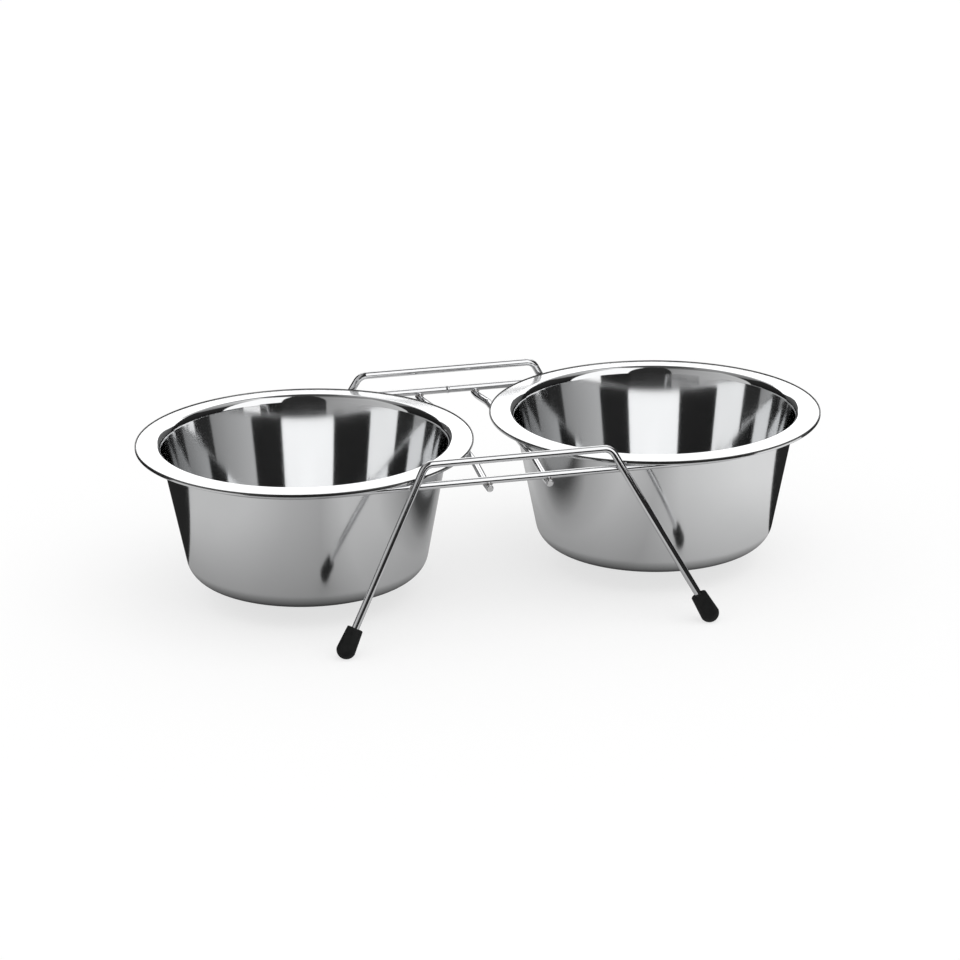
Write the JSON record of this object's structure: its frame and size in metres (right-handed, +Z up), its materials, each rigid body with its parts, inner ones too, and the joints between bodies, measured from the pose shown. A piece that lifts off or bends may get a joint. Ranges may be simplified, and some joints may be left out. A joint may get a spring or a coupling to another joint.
{
  "type": "double pet bowl",
  "caption": "Steel feeding bowls hanging in a welded wire stand with splayed legs and rubber feet; each bowl lifts out for washing.",
  "frame": {"origin": "on the floor, midway between the four feet and under the middle of the stand", "axes": "+X along the pair of bowls towards the right one, +Y towards the rear, +Z up"},
  "size_m": [0.3324, 0.1878, 0.0847],
  "materials": {
    "bowl_steel": "polished stainless steel",
    "stand_wire": "bright chrome plate on round wire",
    "foot_rubber": "matt black rubber"
  },
  "bodies": {
    "stand": {"seat_loop": "stand_wire", "left_cross_wire": "stand_wire", "right_cross_wire": "stand_wire", "front_leg_frame": "stand_wire", "rear_leg_frame": "stand_wire", "front_left_foot": "foot_rubber", "front_right_foot": "foot_rubber", "rear_left_foot": "foot_rubber", "rear_right_foot": "foot_rubber"},
    "left_bowl": {"left_bowl": "bowl_steel"},
    "right_bowl": {"right_bowl": "bowl_steel"}
  },
  "joints": [
    {"name": "left_bowl_lift", "type": "slide", "parent": "stand", "child": "left_bowl", "axis": [0, 0, 1], "range_m": [0, 0.09]},
    {"name": "right_bowl_lift", "type": "slide", "parent": "stand", "child": "right_bowl", "axis": [0, 0, 1], "range_m": [0, 0.09]}
  ]
}
